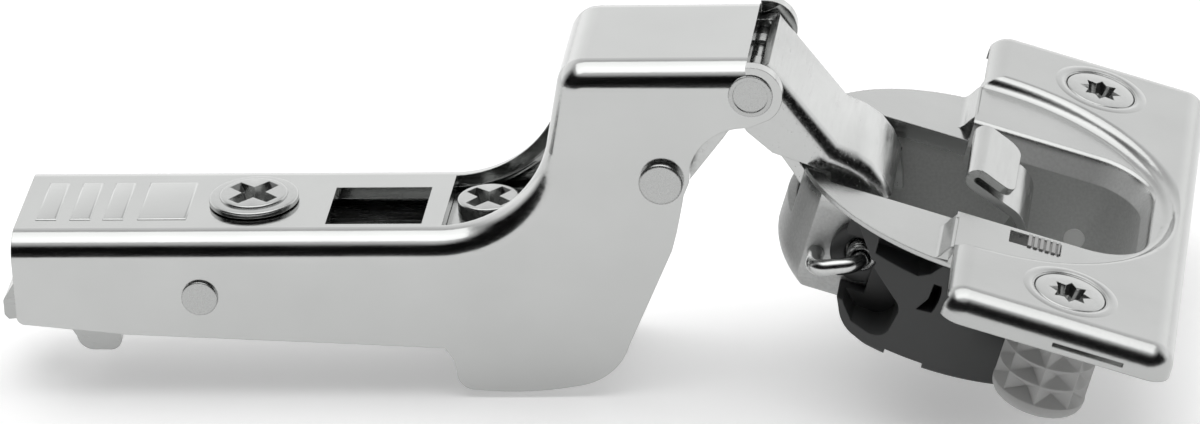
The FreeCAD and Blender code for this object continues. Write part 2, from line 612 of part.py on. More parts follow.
def hinge_cup():
    """Deep-drawn bowl with the rim and the raised wings in one sheet."""
    outer = bowl_solid(0.0, -TROUGH_DEPTH, RIM_TOP, TROUGH_EDGE_RADIUS)
    floor = -TROUGH_DEPTH + TROUGH_SHEET
    inner = bowl_solid(TROUGH_SHEET, floor, RIM_TOP - 0.5, TROUGH_EDGE_RADIUS - TROUGH_SHEET)
    left_half = block(-30, WING_START, -30, 30, 0, 20)
    inner = inner.fuse(cup_outline_solid(TROUGH_RADIUS - TROUGH_SHEET, TROUGH_HALF_WIDTH - TROUGH_SHEET, 0, 20).common(left_half))
    rim = Part.makeCylinder(RIM_RADIUS, RIM_SHEET, Vector(0, 0, RIM_TOP - RIM_SHEET))
    rim = rim.common(block(-30, WING_START + 1.0, -30, 30, 0, RIM_TOP))
    rim = rim.cut(block(-30, WING_START + 2.0, -RIM_CHANNEL_HALF_WIDTH, RIM_CHANNEL_HALF_WIDTH, -1, 2))
    wing = block(WING_START, WING_END, -WING_HALF_LENGTH, WING_HALF_LENGTH, WING_BOTTOM, WING_TOP)
    wing = round_edges(wing, WING_CORNER_RADIUS, upright_corner)

    def wing_top_edge(edge):
        return edge.BoundBox.ZMin > WING_TOP - 0.01

    wing = round_edges(wing, WING_EDGE_RADIUS, wing_top_edge)
    wing = wing.cut(dish_cutter())
    reach = WING_HALF_LENGTH - WING_SHEET
    past = BELT_RADIUS + DISH_RUN
    under = block(WING_START - 1, WING_END - WING_SHEET, -reach, reach, -1.0, WING_TOP - WING_SHEET)
    wing = wing.cut(under.cut(Part.makeCylinder(past, 10, Vector(0, 0, -2))))
    belly = block(WING_START - 1, WING_END - WING_SHEET, -reach, reach, -1.0, BELT_TOP - WING_SHEET)
    wing = wing.cut(belly.common(Part.makeCylinder(past + 0.2, 10, Vector(0, 0, -2))))
    slot = block(WING_SLOT[0], WING_SLOT[1], -WING_HALF_LENGTH - 1, -reach + 0.1, WING_SLOT_LEVELS[0], WING_SLOT_LEVELS[1])
    wing = wing.cut(slot)
    lip = Part.Face(mouth_outline(MOUTH_HALF_WIDTH + 1.2, MOUTH_END + 1.4, MOUTH_CORNER_RADIUS + 1.2, RIM_TOP - RIM_SHEET))
    lip = lip.extrude(Vector(0, 0, BELT_TOP - RIM_TOP + RIM_SHEET))
    body = outer.fuse(rim).fuse(wing).fuse(lip)
    inset = TROUGH_SHEET
    inner_half = TROUGH_HALF_WIDTH - inset
    inner_end = MOUTH_END + 0.3 - inset
    inner_corner = MOUTH_CORNER_RADIUS - inset
    grow = MOUTH_HALF_WIDTH - inner_half
    levels = (RIM_TOP - 0.6, BELT_TOP - 0.7, BELT_TOP - 0.2, BELT_TOP + 0.05, BELT_TOP + 3.0)
    steps = (0.0, 0.55 * grow, 0.75 * grow, grow, grow + 0.3)
    sections = []
    for level, step in zip(levels, steps):
        sections.append(mouth_outline(inner_half + step, inner_end + step * 0.5, inner_corner + step * 0.5, level))
    mouth = Part.makeLoft(sections, True, True)
    body = body.cut(inner).cut(mouth)
    body = body.cut(block(-30, WING_START, -RIM_CHANNEL_HALF_WIDTH, RIM_CHANNEL_HALF_WIDTH, 0, 10))
    notch = INNER_LINK_HALF_WIDTH + SIDE_GAP
    body = body.cut(block(-BEYOND, INNER_PIVOT[0] + 0.5, -notch, notch, LINK_NOTCH_BOTTOM, BEYOND))
    for side in (-1, 1):
        body = body.cut(rod_z(DOWEL_U, side * DOWEL_Y, SCREW_HEAD_RADIUS + 0.15, -5, 10))
    for place, radius in ((INNER_PIVOT, WIRE_RADIUS), (OUTER_PIVOT, WIRE_RADIUS), (ROCKER_PIVOT, ROCKER_PIN_RADIUS)):
        body = body.cut(rod_y(place, radius, -BEYOND, BEYOND))
    body = body.cut(rod_y(RIVET_PLACE, RIVET_RADIUS, 0, BEYOND))
    near = SLIDER_Y - SLIDER_WIDTH / 2 - RUNNING
    far = SLIDER_Y + SLIDER_WIDTH / 2 + RUNNING
    body = body.cut(block(SLIDER_START - SLIDER_TRAVEL - 0.2, SLIDER_START + SLIDER_LENGTH + 0.1, near, far, -1, 5))
    return from_cup(body)


def cup_double_pin():
    """Bent wire: one leg through the whole cup, the bridge outside, one short leg."""
    short_end = -LINK_INSIDE + 0.1
    leg_one = rod_y(INNER_PIVOT, WIRE_RADIUS, WIRE_BRIDGE_Y, TROUGH_HALF_WIDTH)
    leg_two = rod_y(OUTER_PIVOT, WIRE_RADIUS, WIRE_BRIDGE_Y, short_end)
    start = Vector(INNER_PIVOT[0], WIRE_BRIDGE_Y, INNER_PIVOT[1])
    end = Vector(OUTER_PIVOT[0], WIRE_BRIDGE_Y, OUTER_PIVOT[1])
    bridge = Part.makeCylinder(WIRE_RADIUS, start.distanceToPoint(end), start, end - start)
    wire = leg_one.fuse(leg_two).fuse(bridge)
    for place in (start, end):
        wire = wire.fuse(Part.makeSphere(WIRE_RADIUS, place))
    return from_cup(wire)


def cup_far_stud():
    """Short stud at the far side, in line with the short leg."""
    inner_end = LINK_INSIDE - 0.1
    return from_cup(rod_y(OUTER_PIVOT, WIRE_RADIUS, inner_end, TROUGH_HALF_WIDTH + 0.6))


def damper_housing():
    """Moulded housing at both sides of the steel bowl, joined below it."""
    shell = Part.makeCylinder(HOUSING_RADIUS, HOUSING_BOTTOM - 0.1, Vector(0, 0, -HOUSING_BOTTOM))

    def floor_edge(edge):
        return edge.BoundBox.ZMax < -HOUSING_BOTTOM + 0.01

    shell = round_edges(shell, 0.4, floor_edge)
    side_view = [(HOUSING_END, 0.5), (HOUSING_START, 0.5), (HOUSING_START, -6.2), (-10.76, -7.6), (-10.1, -8.9)]
    side_view += [(-9.2, -10.1, -7.9, -10.6), (-6.5, -HOUSING_BOTTOM), (-4.9, -HOUSING_BOTTOM), (-4.9, -10.4), (-1.15, -10.4)]
    side_view += [(-1.15, -HOUSING_BOTTOM), (HOUSING_END, -HOUSING_BOTTOM)]
    shell = shell.common(plate_y(side_view, -BEYOND, BEYOND))
    base = cup_outline_solid(HOUSING_RADIUS - 1.5, TROUGH_HALF_WIDTH + 2.0, -HOUSING_BASE, -HOUSING_BOTTOM + 1.2)
    base = base.common(block(-6.0, HOUSING_END, -BEYOND, BEYOND, -BEYOND, BEYOND))
    shell = shell.fuse(base)
    shell = shell.cut(bowl_solid(-HOUSING_GAP, -TROUGH_DEPTH - HOUSING_GAP, 3.0, TROUGH_EDGE_RADIUS))
    depth = TROUGH_HALF_WIDTH + 1.6
    pocket = [(-11.6, 1.0), (-8.0, -3.3), (-5.3, -5.3), (-4.8, -6.0, -4.8, -6.6), (-5.1, -8.3), (-5.8, -9.3, -6.9, -9.6)]
    pocket += [(-8.6, -9.4), (-9.7, -8.3), (-10.4, -7.2), (-14.0, -6.9), (-14.0, 1.0)]
    shell = shell.cut(plate_y(pocket, -BEYOND, -depth))
    recess = [(-8.5, 0.4), (-8.4, -1.8), (-4.1, -2.0), (-3.0, -1.3), (-1.8, 0.4)]
    shell = shell.cut(plate_y(recess, -BEYOND, -depth - 1.5))
    slot = [(-3.3, -5.25), (-1.85, -5.1), (-1.5, -3.5, -1.63, -2.16), (-2.4, -2.15), (-2.5, -3.8)]
    shell = shell.cut(plate_y(slot, -BEYOND, -depth - 1.5))
    wire_room = block(-16, OUTER_PIVOT[0] + 1.3, -BEYOND, -TROUGH_HALF_WIDTH + 0.3, -8.0, -2.6)
    shell = shell.cut(wire_room)
    far_room = rod_y(OUTER_PIVOT, WIRE_RADIUS + 0.3, 0, TROUGH_HALF_WIDTH + 0.9)
    return from_cup(shell.cut(far_room))


def closing_spring():
    """Close-wound coil on the end of the short leg, in the pocket of the housing."""
    body = None
    start = WIRE_BRIDGE_Y - WIRE_RADIUS - SPRING_WIRE
    for turn in range(SPRING_TURNS):
        y = start - 2 * SPRING_WIRE * 0.98 * turn
        ring = Part.makeTorus(SPRING_RADIUS, SPRING_WIRE, Vector(OUTER_PIVOT[0], y, OUTER_PIVOT[1]), Vector(0, 1, 0))
        body = ring if body is None else body.fuse(ring)
    return from_cup(body)


def damper_rocker():
    """Bent sheet lever, with a broad tongue in the mouth of the cup."""
    outline = [on_circle(ROCKER_PIVOT, ROCKER_EYE_RADIUS, 180), on_circle(ROCKER_PIVOT, ROCKER_EYE_RADIUS, -100) + on_circle(ROCKER_PIVOT, ROCKER_EYE_RADIUS, -15)]
    outline += [(5.2, -0.6), (5.2, 0.9, 4.4, 2.0), (3.7, 2.45), (-1.2, 4.1), (-1.5, 3.3), (3.2, 1.7)]
    outline += [(4.2, 0.9, 4.2, -0.4)]
    outline += [on_circle(ROCKER_PIVOT, ROCKER_EYE_RADIUS, 140), on_circle(ROCKER_PIVOT, ROCKER_EYE_RADIUS, 160) + on_circle(ROCKER_PIVOT, ROCKER_EYE_RADIUS, 180)]
    body = plate_y(outline, -ROCKER_HALF_WIDTH, ROCKER_HALF_WIDTH)
    return from_cup(body.cut(rod_y(ROCKER_PIVOT, ROCKER_PIN_RADIUS + RUNNING, -BEYOND, BEYOND)))


def switch_slider():
    """Ribbed slider in the belt of the cup."""
    low = BELT_TOP - WING_SHEET - 0.4
    half = SLIDER_WIDTH / 2
    body = block(SLIDER_START, SLIDER_START + SLIDER_LENGTH, SLIDER_Y - half, SLIDER_Y + half, low, BELT_TOP + 0.15)
    for groove in range(5):
        u = SLIDER_START + 0.35 + 0.58 * groove
        body = body.cut(block(u, u + 0.22, -30, 30, BELT_TOP - 0.1, BELT_TOP + 1))
    return from_cup(body)


def dowel(side):
    """Expanding dowel with rows of pyramid teeth."""
    y = side * DOWEL_Y
    top = 0.0
    body = rod_z(DOWEL_U, y, DOWEL_RADIUS, top - DOWEL_LENGTH, top)
    body = body.fuse(rod_z(DOWEL_U, y, DOWEL_RADIUS - DOWEL_NECK, top - 0.5, WING_TOP - WING_SHEET))

    def tip(edge):
        return edge.BoundBox.ZMax < top - DOWEL_LENGTH + 0.01

    body = round_edges(body, DOWEL_TIP_RADIUS, tip)
    row_height = (DOWEL_LENGTH - DOWEL_TIP) / DOWEL_ROWS
    cell = math.radians(360 / DOWEL_CELLS)
    for row in range(DOWEL_ROWS):
        middle = top - row_height * (row + 0.5)
        groove_low = Part.makeCone(DOWEL_RADIUS - CELL_DEPTH, DOWEL_RADIUS, row_height / 2,
                                   Vector(DOWEL_U, y, middle - row_height / 2), Vector(0, 0, 1))
        groove_high = Part.makeCone(DOWEL_RADIUS, DOWEL_RADIUS - CELL_DEPTH, row_height / 2,
                                    Vector(DOWEL_U, y, middle), Vector(0, 0, 1))
        band = rod_z(DOWEL_U, y, DOWEL_RADIUS + 1, middle - row_height / 2, middle + row_height / 2)
        body = body.cut(band.cut(groove_low.fuse(groove_high)))
    for index in range(DOWEL_CELLS):
        angle = cell * index
        flute = Part.makeCylinder(0.75, DOWEL_LENGTH - DOWEL_TIP,
                                  Vector(DOWEL_U + (DOWEL_RADIUS + 0.25) * math.cos(angle),
                                         y + (DOWEL_RADIUS + 0.25) * math.sin(angle),
                                         top - DOWEL_LENGTH + DOWEL_TIP), Vector(0, 0, 1))
        body = body.cut(flute)
    body = body.cut(rod_z(DOWEL_U, y, SCREW_CORE_RADIUS + RUNNING, top - DOWEL_LENGTH + DOWEL_FLOOR, 10))
    return from_cup(body)


def dowel_screw(side):
    """Flush screw in the wing that spreads the dowel."""
    y = side * DOWEL_Y
    base = WING_TOP - WING_SHEET
    head = rod_z(DOWEL_U, y, SCREW_HEAD_RADIUS, base, WING_TOP - 0.05)
    shank = rod_z(DOWEL_U, y, SCREW_CORE_RADIUS, -DOWEL_LENGTH + DOWEL_FLOOR + 0.3, base + 0.1)
    screw = head.fuse(shank)
    star = rod_z(DOWEL_U, y, 1.0, WING_TOP - 1.5, WING_TOP + 1)
    for turn in range(3):
        arm = block(-1.65, 1.65, -0.32, 0.32, WING_TOP - 1.2, WING_TOP + 1)
        arm.rotate(Vector(0, 0, 0), Vector(0, 0, 1), 60 * turn)
        arm.translate(Vector(DOWEL_U, y, 0))
        star = star.fuse(arm)
    return from_cup(screw.cut(star))


def cup_rivet():
    """Rivet through the far wall of the bowl, with its flat end just proud."""
    inside = TROUGH_HALF_WIDTH - TROUGH_SHEET
    return from_cup(rod_y(RIVET_PLACE, RIVET_RADIUS, inside - 0.06, TROUGH_HALF_WIDTH))


def spacer_rings():
    """Two rings on the upper pin."""
    rings = []
    for y in (-2.6, 2.6):
        ring = rod_y(UPPER_PIN, RING_RADIUS, y - RING_WIDTH / 2, y + RING_WIDTH / 2)
        rings.append(ring.cut(rod_y(UPPER_PIN, UPPER_PIN_RADIUS, -BEYOND, BEYOND)))
    return Part.makeCompound(rings)


os.makedirs("parts", exist_ok=True)
save("hinge_arm", hinge_arm())
save("adjusting_rail", adjusting_rail())
save("mounting_channel", mounting_channel())
save("release_lever", release_lever())
save("release_lever_pin", rod_y(LEVER_PIVOT, LEVER_PIN_RADIUS, -CLIP_HALF, CLIP_HALF))
save("rear_pivot_pin", headed_pin(REAR_PIN, REAR_PIN_RADIUS, REAR_PIN_RADIUS + 0.1, REAR_HEAD_HEIGHT, False))
save("front_lower_pin", headed_pin(LOWER_PIN, LOWER_PIN_RADIUS, PIN_HEAD_RADIUS, LOWER_HEAD_HEIGHT, False))
save("front_upper_pin", headed_pin(UPPER_PIN, UPPER_PIN_RADIUS, PIN_HEAD_RADIUS, UPPER_HEAD_HEIGHT, True))
save("link_spacer_rings", spacer_rings())
save("depth_cam_screw", depth_cam_screw())
save("side_adjust_screw", side_adjust_screw())
save("outer_link", outer_link())
save("inner_link", inner_link())
save("hinge_cup", hinge_cup())
save("cup_double_pin", cup_double_pin())
save("cup_far_stud", cup_far_stud())
save("damper_housing", damper_housing())
save("closing_spring", closing_spring())
save("damper_rocker", damper_rocker())
save("damper_rocker_pin", from_cup(rod_y(ROCKER_PIVOT, ROCKER_PIN_RADIUS, -TROUGH_HALF_WIDTH + 0.3, TROUGH_HALF_WIDTH - 0.3)))
save("switch_slider", switch_slider())
save("dowel_near", dowel(-1))
save("dowel_far", dowel(1))
save("dowel_screw_near", dowel_screw(-1))
save("dowel_screw_far", dowel_screw(1))
save("cup_rivet", cup_rivet())
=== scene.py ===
import bpy
import bmesh
import math
from mathutils import Matrix, Vector


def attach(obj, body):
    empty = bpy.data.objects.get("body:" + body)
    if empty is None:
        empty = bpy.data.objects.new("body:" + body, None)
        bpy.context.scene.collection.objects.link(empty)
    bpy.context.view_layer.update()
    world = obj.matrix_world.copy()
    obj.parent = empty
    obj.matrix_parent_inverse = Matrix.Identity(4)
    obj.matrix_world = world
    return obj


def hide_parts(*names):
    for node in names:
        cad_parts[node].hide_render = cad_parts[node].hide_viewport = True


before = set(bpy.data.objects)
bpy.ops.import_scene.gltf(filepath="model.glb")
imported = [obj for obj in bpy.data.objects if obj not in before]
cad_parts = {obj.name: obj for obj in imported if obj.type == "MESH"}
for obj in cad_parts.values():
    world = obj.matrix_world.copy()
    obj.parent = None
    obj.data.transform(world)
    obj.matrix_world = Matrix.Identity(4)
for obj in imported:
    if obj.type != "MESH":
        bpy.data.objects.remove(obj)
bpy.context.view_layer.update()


# Cranked arm: cold-rolled steel strip, blanked, bent to a channel and nickel plated.
# Rolling leaves fine lines along the strip, and the plating a faint grain over them,
# which frays the edges of every reflection.
def srgb(hex_colour):
    channels = [int(hex_colour[i:i + 2], 16) / 255 for i in (1, 3, 5)]
    linear = [c / 12.92 if c <= 0.04045 else ((c + 0.055) / 1.055) ** 2.4 for c in channels]
    return (*linear, 1.0)


def add(tree, kind, inputs=None, **settings):
    node = tree.nodes.new(kind)
    for name, value in settings.items():
        setattr(node, name, value)
    for key, value in (inputs or {}).items():
        if isinstance(value, bpy.types.NodeSocket):
            tree.links.new(value, node.inputs[key])
        else:
            node.inputs[key].default_value = value
    return node


def new_material(name):
    material = bpy.data.materials.new(name)
    material.use_nodes = True
    tree = material.node_tree
    tree.nodes.clear()
    place = add(tree, "ShaderNodeTexCoord").outputs["Object"]
    return material, tree, place


def finish_material(tree, shader):
    output = tree.nodes.new("ShaderNodeOutputMaterial")
    tree.links.new(shader.outputs[0], output.inputs["Surface"])


def plated_sheet(name, light, dark, roughness, strip, line_mm, line_um, grain_mm, grain_um):
    material, tree, place = new_material(name)
    along = add(tree, "ShaderNodeMapping", {"Vector": place, "Scale": strip}).outputs[0]
    rolling = add(tree, "ShaderNodeTexNoise", {"Vector": along, "Scale": 1000 / line_mm, "Detail": 4.0})
    grain = add(tree, "ShaderNodeTexNoise", {"Vector": place, "Scale": 1000 / grain_mm, "Detail": 3.0})
    cloud = add(tree, "ShaderNodeTexNoise", {"Vector": place, "Scale": 120.0, "Detail": 3.0})
    rough = add(tree, "ShaderNodeMapRange", {
        "Value": rolling.outputs[0], "From Min": 0.3, "From Max": 0.7,
        "To Min": roughness * 0.7, "To Max": roughness * 1.4})
    tone = add(tree, "ShaderNodeMix", {0: cloud.outputs[0], 6: srgb(dark), 7: srgb(light)}, data_type="RGBA")
    edge = add(tree, "ShaderNodeBevel", {"Radius": 0.00012}, samples=4)
    lines = add(tree, "ShaderNodeBump", {
        "Height": rolling.outputs[0], "Normal": edge.outputs[0], "Distance": line_um * 1e-6})
    bump = add(tree, "ShaderNodeBump", {
        "Height": grain.outputs[0], "Normal": lines.outputs[0], "Distance": grain_um * 1e-6})
    shader = add(tree, "ShaderNodeBsdfPrincipled", {
        "Base Color": tone.outputs[2], "Metallic": 1.0, "Roughness": rough.outputs[0],
        "Normal": bump.outputs[0]})
    finish_material(tree, shader)
    return material


def dress(material, *nodes):
    for name in nodes:
        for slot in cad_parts[name].material_slots:
            slot.material = material


arm_nickel = plated_sheet("rolled_nickel_arm", "#BFC0BF", "#B5B6B5", 0.14, (0.05, 1.0, 1.0), 0.3, 0.9, 0.3, 3.0)
dress(arm_nickel, "hinge_arm")


# Stepping pads behind the depth screw: four low soft pads, coined into the same strip.
MM = 0.001
PAD_STARTS = (1.9, 5.2, 8.4, 11.8)
PAD_LENGTHS = (1.9, 1.9, 1.9, 4.6)
PAD_HALF_WIDTH = 4.05
PAD_TOP = 17.14


def make_piece(bm, name, place, finish, body, slot, *stands_for):
    bm.transform(place)
    bmesh.ops.recalc_face_normals(bm, faces=bm.faces)
    mesh = bpy.data.meshes.new(name)
    bm.to_mesh(mesh)
    bm.free()
    mesh.materials.append(finish)
    for face in mesh.polygons:
        face.use_smooth = True
    mesh.set_sharp_from_angle(angle=math.radians(32))
    piece = bpy.data.objects.new(name, mesh)
    bpy.context.scene.collection.objects.link(piece)
    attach(piece, body)
    if stands_for:
        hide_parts(*stands_for)
    return piece


for number, (start, length) in enumerate(zip(PAD_STARTS, PAD_LENGTHS), 1):
    bm = bmesh.new()
    bmesh.ops.create_cube(bm, size=1.0)
    bmesh.ops.scale(bm, verts=bm.verts, vec=(length + 0.3, 2 * PAD_HALF_WIDTH + 0.3, 0.9))
    bmesh.ops.translate(bm, verts=bm.verts, vec=(start + length / 2, 0, PAD_TOP - 0.45))
    upper = [e for e in bm.edges if all(v.co.z > PAD_TOP - 0.01 for v in e.verts)]
    bmesh.ops.bevel(bm, geom=upper, offset=0.32, segments=4, profile=0.5, affect="EDGES", material=-1)
    make_piece(bm, "coined_pad_%d" % number, Matrix.Scale(MM, 4), arm_nickel, "arm", "nickel_plate")


# Channels and lever inside the arm: the same strip, plated in bulk, so a little duller.
channel_nickel = plated_sheet("barrel_nickel_channel", "#B4B5B4", "#A4A5A4", 0.22, (0.1, 1.0, 1.0), 0.4, 0.8, 0.3, 2.0)
dress(channel_nickel, "adjusting_rail", "mounting_channel", "release_lever")


# Pins, rivets and the bent wire: cold-headed steel with a satin zinc coat, turned marks
# lost in tumbling, so the shine is soft and even.
def satin_zinc(name, light, dark, roughness, grain_mm, grain_um):
    material, tree, place = new_material(name)
    grit = add(tree, "ShaderNodeTexNoise", {"Vector": place, "Scale": 1000 / grain_mm, "Detail": 4.0})
    rough = add(tree, "ShaderNodeMapRange", {
        "Value": grit.outputs[0], "To Min": roughness * 0.7, "To Max": roughness * 1.3})
    tone = add(tree, "ShaderNodeMix", {0: grit.outputs[0], 6: srgb(dark), 7: srgb(light)}, data_type="RGBA")
    edge = add(tree, "ShaderNodeBevel", {"Radius": 0.00010}, samples=4)
    bump = add(tree, "ShaderNodeBump", {
        "Height": grit.outputs[0], "Normal": edge.outputs[0], "Distance": grain_um * 1e-6})
    shader = add(tree, "ShaderNodeBsdfPrincipled", {
        "Base Color": tone.outputs[2], "Metallic": 1.0, "Roughness": rough.outputs[0],
        "Normal": bump.outputs[0]})
    finish_material(tree, shader)
    return material


pin_zinc = satin_zinc("tumbled_zinc_pin", "#B8B9B8", "#A6A7A6", 0.28, 0.3, 2.5)
dress(pin_zinc, "rear_pivot_pin", "front_lower_pin", "front_upper_pin", "release_lever_pin",
      "cup_far_stud", "damper_rocker_pin", "link_spacer_rings")
screw_nickel = satin_zinc("headed_nickel_screw", "#BABBBA", "#AEAFAE", 0.2, 0.35, 1.5)


# Links: steel strip bent across its rolling, with a coarser grain from the press.
link_nickel = plated_sheet("pressed_nickel_link", "#BFC0BF", "#B3B4B3", 0.2, (1.0, 0.08, 1.0), 0.3, 1.2, 0.22, 3.0)
dress(link_nickel, "inner_link")


# Cup: deep-drawn sheet. The drawing leaves an orange peel. Inside the bowl and on the inner slope of its mouth the
# finish is duller and rougher, and the colour there is painted lighter: painted light that brightens the deep bowl.
CUP_CENTRE = (0.0923, 0.0, 0.0174)
CUP_TILT = math.radians(18.75)
CUP = Matrix.Translation(CUP_CENTRE) @ Matrix.Rotation(CUP_TILT, 4, "Y") @ Matrix.Scale(MM, 4)


def drawn_sheet(name, light, dark, bowl, roughness, bowl_roughness, grain_mm, grain_um):
    material, tree, place = new_material(name)
    in_cup = add(tree, "ShaderNodeMapping", {
        "Vector": place, "Location": CUP_CENTRE, "Rotation": (0.0, CUP_TILT, 0.0), "Scale": (MM, MM, MM)},
        vector_type="TEXTURE").outputs[0]
    run, across, height = add(tree, "ShaderNodeSeparateXYZ", {"Vector": in_cup}).outputs
    flat = add(tree, "ShaderNodeVectorMath", {0: in_cup, 1: (1.0, 1.0, 0.0)}, operation="MULTIPLY")
    away = add(tree, "ShaderNodeVectorMath", {0: flat.outputs[0]}, operation="LENGTH")
    bowl_side = add(tree, "ShaderNodeMapRange", {"Value": height, "From Min": -0.3, "From Max": -1.6})
    mouth_side = add(tree, "ShaderNodeMapRange", {"Value": height, "From Min": 2.4, "From Max": 1.8})
    past_links = add(tree, "ShaderNodeMapRange", {"Value": run, "From Min": -1.95, "From Max": -1.9})
    inside = add(tree, "ShaderNodeMapRange", {"Value": away.outputs["Value"], "From Min": 17.25, "From Max": 17.15})
    mouth_part = add(tree, "ShaderNodeMath", {0: mouth_side.outputs[0], 1: past_links.outputs[0]}, operation="MULTIPLY")
    mouth = add(tree, "ShaderNodeMath", {0: mouth_part.outputs[0], 1: inside.outputs[0]}, operation="MULTIPLY")
    depth = add(tree, "ShaderNodeMath", {0: bowl_side.outputs[0], 1: mouth.outputs[0]}, operation="MAXIMUM").outputs[0]
    peel = add(tree, "ShaderNodeTexNoise", {"Vector": place, "Scale": 1000 / grain_mm, "Detail": 4.0})
    cloud = add(tree, "ShaderNodeTexNoise", {"Vector": place, "Scale": 160.0, "Detail": 4.0})
    sheet = add(tree, "ShaderNodeMix", {0: cloud.outputs[0], 6: srgb(dark), 7: srgb(light)}, data_type="RGBA")
    # Painted light: inside the bowl the colour is a lighter grey, mixed with the peel grain, to brighten the deep bowl.
    bowl_grain_and_painted_light = add(tree, "ShaderNodeMix", {0: peel.outputs[0], 6: srgb(bowl), 7: srgb(light)}, data_type="RGBA")
    tone = add(tree, "ShaderNodeMix", {0: depth, 6: sheet.outputs[2], 7: bowl_grain_and_painted_light.outputs[2]}, data_type="RGBA")
    rough = add(tree, "ShaderNodeMapRange", {"Value": depth, "To Min": roughness, "To Max": bowl_roughness})
    bare = add(tree, "ShaderNodeMapRange", {"Value": depth, "To Min": 1.0, "To Max": 0.4})
    frayed = add(tree, "ShaderNodeMath", {0: peel.outputs[0], 1: 0.6, 2: 0.7}, operation="MULTIPLY_ADD")
    uneven = add(tree, "ShaderNodeMath", {0: rough.outputs[0], 1: frayed.outputs[0]}, operation="MULTIPLY")
    edge = add(tree, "ShaderNodeBevel", {"Radius": 0.0002}, samples=4)
    bump = add(tree, "ShaderNodeBump", {
        "Height": peel.outputs[0], "Normal": edge.outputs[0], "Distance": grain_um * 1e-6})
    shader = add(tree, "ShaderNodeBsdfPrincipled", {
        "Base Color": tone.outputs[2], "Metallic": bare.outputs[0], "Roughness": uneven.outputs[0],
        "Normal": bump.outputs[0]})
    finish_material(tree, shader)
    return material


# The third colour is the painted light of the bowl, lighter than the sheet.
cup_nickel = drawn_sheet("drawn_nickel_cup", "#B6B7B6", "#ABACAB", "#D6D7D6", 0.2, 0.42, 0.3, 5.0)
dress(cup_nickel, "hinge_cup")

# Shoulders of the cup: where the drawn sheet climbs from the low rim to the wings.
SHOULDER_LINE = ((-3.3, 0.93), (-3.05, 1.02), (-2.75, 1.35), (-2.3, 2.15), (-2.05, 2.5), (-1.8, 2.59), (-1.8, 0.6), (-3.3, 0.6))
SHOULDER_START = 10.9
SHOULDER_END = 17.9
for side, word in ((-1, "near"), (1, "far")):
    bm = bmesh.new()
    end = bm.faces.new([bm.verts.new((u, side * SHOULDER_START, n)) for u, n in SHOULDER_LINE])
    grown = bmesh.ops.extrude_face_region(bm, geom=[end])["geom"]
    bmesh.ops.translate(bm, verts=[g for g in grown if isinstance(g, bmesh.types.BMVert)],
                        vec=(0, side * (SHOULDER_END - SHOULDER_START), 0))
    make_piece(bm, "cup_shoulder_" + word, CUP, cup_nickel, "cup", "nickel_plate")


# Bent wire of the cup: drawn steel, 1.6 mm thick. Both of its legs are pivots, and the
# bridge between them stands clear of the bowl at the near side.
LONG_LEG = Vector((-13.5, 0.0, -6.2))
SHORT_LEG = Vector((-9.4, 0.0, -4.3))
WIRE_RADIUS = 0.8
WIRE_BEND = 1.5
BRIDGE_Y = -13.2
LEG_FAR_Y = 9.6
SHORT_LEG_END_Y = -5.8


def run_on(bm, loop, step):
    grown = bmesh.ops.extrude_edge_only(bm, edges=loop)["geom"]
    bmesh.ops.translate(bm, verts=[g for g in grown if isinstance(g, bmesh.types.BMVert)], vec=step)
    return [g for g in grown if isinstance(g, bmesh.types.BMEdge) and g.is_boundary]


def bend_on(bm, loop, centre, axis, angle, steps):
    grown = bmesh.ops.spin(bm, geom=loop, cent=centre, axis=axis, angle=angle, steps=steps)["geom_last"]
    return [g for g in grown if isinstance(g, bmesh.types.BMEdge)]


across = (SHORT_LEG - LONG_LEG).normalized()
span = (SHORT_LEG - LONG_LEG).length
down_y = Vector((0.0, -1.0, 0.0))
turn_axis = down_y.cross(across)
bm = bmesh.new()
ring = bmesh.ops.create_circle(bm, segments=20, radius=WIRE_RADIUS)["verts"]
bmesh.ops.rotate(bm, verts=ring, cent=(0, 0, 0), matrix=Matrix.Rotation(math.radians(90), 3, "X"))
bmesh.ops.translate(bm, verts=ring, vec=LONG_LEG + Vector((0, LEG_FAR_Y, 0)))
loop = run_on(bm, bm.edges[:], down_y * (LEG_FAR_Y - BRIDGE_Y - WIRE_BEND))
corner = LONG_LEG + Vector((0, BRIDGE_Y + WIRE_BEND, 0)) + across * WIRE_BEND
loop = bend_on(bm, loop, corner, turn_axis, math.radians(90), 8)
loop = run_on(bm, loop, across * (span - 2 * WIRE_BEND))
corner = SHORT_LEG + Vector((0, BRIDGE_Y + WIRE_BEND, 0)) - across * WIRE_BEND
loop = bend_on(bm, loop, corner, turn_axis, math.radians(90), 8)
loop = run_on(bm, loop, down_y * (BRIDGE_Y + WIRE_BEND - SHORT_LEG_END_Y))
bmesh.ops.remove_doubles(bm, verts=bm.verts, dist=0.0001)
bmesh.ops.holes_fill(bm, edges=bm.edges, sides=0)
wire_steel = satin_zinc("bright_drawn_wire", "#C8C9C8", "#B6B7B6", 0.2, 0.3, 2.0)
make_piece(bm, "bent_wire_pin", CUP, wire_steel, "cup", "bare_steel", "cup_double_pin")


